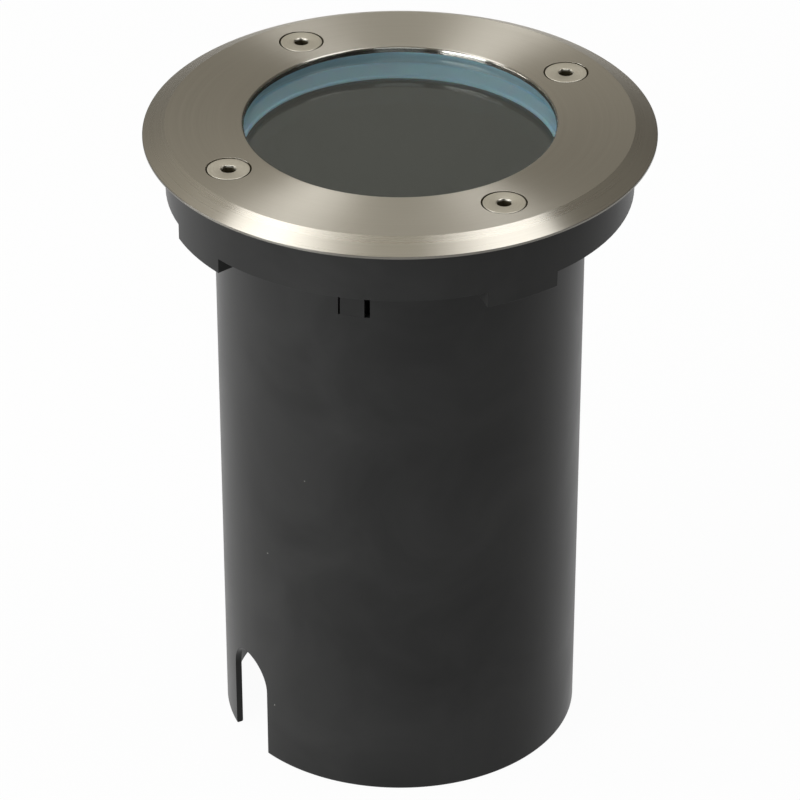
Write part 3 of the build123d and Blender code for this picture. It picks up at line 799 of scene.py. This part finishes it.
def trim_ring():
    """Make the bevelled trim ring with its countersunk holes."""
    steel = FINISHES["trim_steel"]
    ring = turned_piece("trim_ring_turned", [
        (OPENING_R, GASKET_TOP, 0.1),
        (OPENING_R, TRIM_TOP, OPENING_BREAK),
        (TRIM_FLAT_R, TRIM_TOP, 0.12),
        (TRIM_R, TRIM_LOW + TRIM_EDGE, 0.12),
        (TRIM_R, TRIM_LOW, 0.12),
        (SEAT_R, TRIM_LOW, 0.1),
        (SEAT_R, GASKET_TOP, 0.15),
    ], steel, steps=256, ease_steps=6)
    cone_top = TRIM_TOP - SINK_LAND
    holes = []
    for angle in SCREW_ANGLES:
        hole = turned_piece("countersink", [
            (0, TRIM_LOW - CUT_OVER, 0),
            (SCREW_HOLE_R, TRIM_LOW - CUT_OVER, 0),
            (SCREW_HOLE_R, cone_top - (SINK_R - SCREW_HOLE_R), 0),
            (SINK_R, cone_top, 0),
            (SINK_R, TRIM_TOP + CUT_OVER, 0),
            (0, TRIM_TOP + CUT_OVER, 0),
        ], steel, steps=72)
        holes.append(move(hole, about_axis(angle, SCREW_CIRCLE_R)))
    return ease_edges(cut(ring, *holes), width=0.07)


def trim_screw():
    """Make one countersunk screw with a hexagon socket and a wound thread, on the Z axis."""
    steel = FINISHES["screw_steel"]
    top = TRIM_TOP - HEAD_BELOW_TRIM
    cone_top = top - HEAD_LAND
    neck_r = THREAD_CORE_R - 0.05
    neck_low = THREAD_TOP - 0.2
    neck_top = THREAD_TOP + 0.1
    shank_low = THREAD_TOP + 0.5
    screw = turned_piece("trim_screw_turned", [
        (0, neck_low, 0),
        (neck_r, neck_low, 0),
        (neck_r, neck_top, 0),
        (SHANK_R, shank_low, 0.1),
        (SHANK_R, cone_top - (HEAD_R - SHANK_R), 0.2),
        (HEAD_R, cone_top, 0.08),
        (HEAD_R, top, 0.14),
        (0, top, 0),
    ], steel, steps=96)
    corner = SOCKET_WIDTH / sqrt(3)
    turns = [radians(60 * i + 30) for i in range(6)]
    outline = [(corner * cos(turn), corner * sin(turn)) for turn in turns]
    socket = prism("hexagon", outline, top - SOCKET_DEPTH, top + CUT_OVER)
    over = 0.12
    lead_in = turned_piece("lead_in", [
        (0, top - SOCKET_LEAD_IN, 0),
        (corner - SOCKET_LEAD_IN, top - SOCKET_LEAD_IN, 0),
        (corner + over, top + over, 0),
        (0, top + over, 0),
    ], steel, steps=48)
    ease_edges(cut(screw, socket, lead_in), width=0.04)
    join(screw, threaded_rod("thread", SCREW_TIP, THREAD_TOP, THREAD_CORE_R, SHANK_R, THREAD_PITCH, steel))
    own_place = screw.data.attributes.new("own_place", "FLOAT_VECTOR", "POINT")
    for vert in screw.data.vertices:
        own_place.data[vert.index].vector = vert.co
    return screw


def front_glass():
    """Make the thick glass disc: polished faces and a ground rim."""
    face_r = GLASS_R - GLASS_CHAMFER
    glass = turned_piece("front_glass_polished", [
        (0, GLASS_LOW, 0),
        (face_r, GLASS_LOW, 0.1),
        (GLASS_R, GLASS_LOW + GLASS_CHAMFER, 0.1),
        (GLASS_R, GLASS_TOP - GLASS_CHAMFER, 0.1),
        (face_r, GLASS_TOP, 0.1),
        (0, GLASS_TOP, 0),
    ], FINISHES["clear_glass"], steps=256)
    glass.data.materials.append(ground_glass_edge())
    for face in glass.data.polygons:
        if face.center.xy.length > (face_r - 0.06) * MM:
            face.material_index = 1
    return glass


def glass_gasket():
    """Make the U-section gasket: rounded lips, the lower one tapered, with a bead at its foot."""
    groove_low = GLASS_LOW - GASKET_PLAY
    return turned_piece("glass_gasket_moulded", [
        (GASKET_BEAD_R, GASKET_LOW, 0.1),
        (GASKET_R, GASKET_LOW, 0.5),
        (GASKET_R, GASKET_TOP, 0.3),
        (GASKET_LIP_R, GASKET_TOP, 0.2),
        (GASKET_LIP_R, GLASS_TOP, 0.2),
        (GASKET_BORE_R, GLASS_TOP, 0.05),
        (GASKET_BORE_R, groove_low, 0.05),
        (GASKET_LIP_R + GASKET_LIP_TAPER, groove_low, 0.2),
        (GASKET_BEAD_R + GASKET_BEAD_WIDTH, GASKET_LOW + GASKET_BEAD_WIDTH, 0.1),
        (GASKET_BEAD_R, GASKET_LOW + GASKET_BEAD_FACE, 0.15),
    ], FINISHES["gasket_silicone"], steps=256)


def ground_sleeve():
    """Make the tapered sleeve with its cable slot and keyways."""
    sleeve = turned_piece("ground_sleeve_moulded", [
        (SLEEVE_BORE_R - SLEEVE_DRAFT, 0, 0.3),
        (SLEEVE_R - SLEEVE_DRAFT, 0, 0.4),
        (SLEEVE_R, SLEEVE_TOP, 0.4),
        (SLEEVE_BORE_R, SLEEVE_TOP, 0.3),
    ], FINISHES["sleeve_plastic"], steps=240)
    over = 2 * CUT_OVER
    inner = SLEEVE_R / 2
    outer = 2 * SLEEVE_R
    half = SLOT_WIDTH / 2
    turns = [pi * i / SLOT_ARCH_STEPS for i in range(SLOT_ARCH_STEPS + 1)]
    arch = [(half * cos(turn), SLOT_HEIGHT - half + half * sin(turn)) for turn in turns]
    slot = prism("slot", [(half, -over), *arch, (-half, -over)], inner, outer)
    cutters = [move(slot, Matrix.Rotation(radians(90), 4, "X"))]
    side = KEYWAY_WIDTH / 2
    for angle in KEYWAY_ANGLES:
        outline = [(inner, -side), (outer, -side), (outer, side), (inner, side)]
        cutters.append(move(prism("keyway", outline, KEYWAY_LOW, SLEEVE_TOP + over), about_axis(angle)))
    return ease_edges(cut(sleeve, *cutters), width=0.25)


def lamp_housing():
    """Make the moulded housing: edges eased, keys bedded down in the keyways."""
    housing = cad_copy("lamp_housing_moulded", "lamp_housing", FINISHES["housing_plastic"])
    for vert in housing.data.vertices:
        above_keyway = vert.co.z / MM - KEYWAY_LOW
        if vert.co.xy.length > KEY_FOOT_R * MM and 0 < above_keyway < KEY_FOOT_REACH:
            vert.co.z = (KEYWAY_LOW + KEY_PLAY) * MM
    return ease_edges(housing, width=0.25)


def lamp_lens():
    """Make the lamp's lens with a honeycomb of small domes in its face."""
    face_r = LENS_R - LENS_BORDER
    rings = [face_r - LENS_RING_STEP * i for i in range(int(face_r / LENS_RING_STEP))]
    lens = turned_piece("lamp_lens_moulded", [
        (0, LENS_LOW, 0),
        (LENS_R, LENS_LOW, 0.15),
        (LENS_R, LENS_TOP, 0.2),
        *((ring, LENS_TOP, 0) for ring in rings),
        (0, LENS_TOP, 0),
    ], FINISHES["lens_plastic"], steps=240)
    return run_tree(lens, LENS_FACETS, FINISHES["lens_plastic"], size=FACET_SIZE * MM, depth=FACET_DEPTH * MM,
                    reach=(LENS_R - FACET_BORDER) * MM, level=LENS_TOP * MM)


def eased_node(node, width):
    """Make a piece that repeats a CAD node with its sharp edges eased."""
    return ease_edges(cad_copy(node + "_eased", node, FINISHES[slot_of(node)]), width)


# Nodes that keep their CAD shape, and the width in millimetres that eases their edges
EASED_NODES = {
    "screw_inserts": 0.1, "gland_body": 0.25, "gland_washer": 0.15, "gland_locknut": 0.25, "gland_seal": 0.2,
    "gland_dome_nut": 0.35, "holder_bracket": 0.12, "bracket_screws": 0.1, "lampholder_body": 0.35,
    "lampholder_contacts": 0.06, "lampholder_screws": 0.08, "terminal_block": 0.25, "terminal_barrels": 0.1,
    "terminal_screws": 0.08, "terminal_fixing_screw": 0.08, "live_lead": 0.08, "neutral_lead": 0.08,
    "lamp_pins": 0.12, "lamp_base": 0.4, "lamp_shell": 0.25, "lamp_led_board": 0.06,
}

stand_for(trim_ring(), "trim_ring")
stand_for(front_glass(), "front_glass")
stand_for(glass_gasket(), "glass_gasket")
stand_for(ground_sleeve(), "ground_sleeve")
stand_for(lamp_housing(), "lamp_housing")
stand_for(lamp_lens(), "lamp_lens")
for node, width in EASED_NODES.items():
    stand_for(eased_node(node, width), node)
first_screw = trim_screw()
for number, angle in enumerate(SCREW_ANGLES, start=1):
    screw = new_piece(f"trim_screw_{number}_turned", first_screw.data.copy())
    stand_for(move(screw, about_axis(angle, SCREW_CIRCLE_R)), f"trim_screw_{number}")
bpy.data.objects.remove(first_screw)


# Stage: floor, world, lamps and camera, in metres and degrees

CAMERA_AZIMUTH = 59.0
CAMERA_ELEVATION = 31.49
CAMERA_DISTANCE = 1.1433
CAMERA_TARGET = Vector((0, 0, 0.0769))
CAMERA_LENS = 233.6
CAMERA_SENSOR = 36.0
FLOOR_HALF = 1.0
FLOOR_GLOW = 0.96


def from_camera_side(right, away, up):
    """Return a direction given to the right, away from the camera and up."""
    turn = radians(CAMERA_AZIMUTH)
    return Vector((right * cos(turn) - away * sin(turn), right * sin(turn) + away * cos(turn), up))


def to_camera():
    """Return the direction from the object to the camera."""
    lift = radians(CAMERA_ELEVATION)
    return from_camera_side(0, -cos(lift), sin(lift))


def white_floor():
    """Make the white floor, which keeps a faint shadow and is clear from below."""
    shape = bmesh.new()
    bmesh.ops.create_grid(shape, x_segments=1, y_segments=1, size=FLOOR_HALF)
    mesh = bpy.data.meshes.new("floor")
    shape.to_mesh(mesh)
    shape.free()
    material = bpy.data.materials.new("floor_white")
    material.use_nodes = True
    tree = material.node_tree
    tree.nodes.remove(tree.nodes["Principled BSDF"])
    path = add_node(tree, "ShaderNodeLightPath").outputs
    mirrored_or_through = calc(tree, "MAXIMUM", path["Is Glossy Ray"], path["Is Transmission Ray"])
    seen = calc(tree, "MAXIMUM", path["Is Camera Ray"], mirrored_or_through)
    matt = add_node(tree, "ShaderNodeBsdfDiffuse", {"Color": (0.9, 0.9, 0.9, 1)})
    glow = add_node(tree, "ShaderNodeEmission", {"Color": (1, 1, 1, 1), "Strength": 1.0})
    mixed = add_node(tree, "ShaderNodeMixShader", {
        0: calc(tree, "MULTIPLY", seen, FLOOR_GLOW), 1: matt.outputs[0], 2: glow.outputs[0],
    })
    clear = add_node(tree, "ShaderNodeBsdfTransparent")
    below = add_node(tree, "ShaderNodeNewGeometry").outputs["Backfacing"]
    one_sided = add_node(tree, "ShaderNodeMixShader", {0: below, 1: mixed.outputs[0], 2: clear.outputs[0]})
    tree.links.new(one_sided.outputs[0], tree.nodes["Material Output"].inputs["Surface"])
    mesh.materials.append(material)
    new_piece("floor", mesh)


def studio_world():
    """Make the surround: white to the camera, and to the object a grey room, darker towards its sides."""
    world = bpy.data.worlds.new("studio")
    bpy.context.scene.world = world
    world.use_nodes = True
    tree = world.node_tree
    way = add_node(tree, "ShaderNodeTexCoord").outputs["Generated"]
    ramp = add_node(tree, "ShaderNodeValToRGB", {"Fac": split(tree, way)["Z"]})
    stops = (
        (0.0, (0.24, 0.235, 0.215)),
        (0.3, (0.315, 0.30, 0.265)),
        (0.55, (0.495, 0.473, 0.413)),
        (1.0, (0.545, 0.518, 0.447)),
    )
    while len(ramp.color_ramp.elements) < len(stops):
        ramp.color_ramp.elements.new(0.5)
    for element, (position, colour) in zip(ramp.color_ramp.elements, stops):
        element.position = position
        element.color = (*colour, 1)
    shade = 1.0
    for side, reach, darkest in (
        (from_camera_side(-1, 0, 0), 0.45, 0.8),
        (from_camera_side(1, 0, 0), 0.45, 0.36),
        (from_camera_side(0, -1, 0), 0.5, 0.38),
    ):
        lean = vector_calc(tree, "DOT_PRODUCT", way, side)["Value"]
        shade = calc(tree, "MULTIPLY", shade, spread(tree, lean, 1.0, darkest, 0.0, reach))
    seen = add_node(tree, "ShaderNodeLightPath").outputs["Is Camera Ray"]
    background = tree.nodes["Background"]
    feed(tree, background, Color=blend(tree, seen, ramp.outputs[0], (1, 1, 1)),
         Strength=between(tree, seen, shade, 1.0))


def mirrored(azimuth, tilt):
    """Return the direction that a face mirrors to the camera; its azimuth is below 0 left of the camera."""
    turn = radians(azimuth)
    lean = radians(tilt)
    face = from_camera_side(sin(lean) * sin(turn), -sin(lean) * cos(turn), cos(lean))
    return -to_camera().reflect(face)


def softbox(name, start, end, distance, depth, power, tint):
    """Hang a soft box between two directions from the trim, turned to face it."""
    way = (start + end).normalized()
    across = (end - start - way * way.dot(end - start)).normalized()
    light = bpy.data.lights.new(name, "AREA")
    light.shape = "RECTANGLE"
    light.size = distance * (end.normalized() - start.normalized()).length
    light.size_y = depth
    light.energy = power
    light.color = tint
    lamp = bpy.data.objects.new(name, light)
    bpy.context.scene.collection.objects.link(lamp)
    lamp.location = Vector((0, 0, TRIM_TOP * MM)) + way * distance
    lamp.rotation_euler = Matrix((across, way.cross(across), way)).transposed().to_euler()
    lamp.visible_camera = False


def photo_camera():
    """Set the camera as in the photograph."""
    lens = bpy.data.cameras.new("camera")
    lens.sensor_width = CAMERA_SENSOR
    lens.lens = CAMERA_LENS
    camera = bpy.data.objects.new("camera", lens)
    bpy.context.scene.collection.objects.link(camera)
    camera.location = CAMERA_TARGET + to_camera() * CAMERA_DISTANCE
    camera.rotation_euler = to_camera().to_track_quat("Z", "Y").to_euler()
    bpy.context.scene.camera = camera


white_floor()
studio_world()
softbox("softbox_left", mirrored(-44, 34), mirrored(-24, 34),
        distance=1.3, depth=1.3, power=4.4, tint=(0.97, 0.985, 1.0))
softbox("softbox_right", mirrored(18, 35.5), mirrored(39, 35.5),
        distance=1.3, depth=1.2, power=4.8, tint=(0.97, 0.985, 1.0))
softbox("left_fill", from_camera_side(-1, 0.2, -0.01), from_camera_side(-0.9, -0.35, -0.01),
        distance=1.5, depth=0.25, power=8.6, tint=(1.0, 1.0, 1.0))
softbox("front_fill", from_camera_side(-0.9, -0.45, 0.2), from_camera_side(-0.45, -0.8, 0.2),
        distance=1.5, depth=0.5, power=16.5, tint=(0.94, 0.98, 1.0))
softbox("band_fill", from_camera_side(-0.3, -0.85, 0.6), from_camera_side(0.3, -0.85, 0.6),
        distance=1.5, depth=0.9, power=2.7, tint=(0.86, 0.95, 1.0))
photo_camera()
bpy.context.scene.view_settings.view_transform = "Standard"
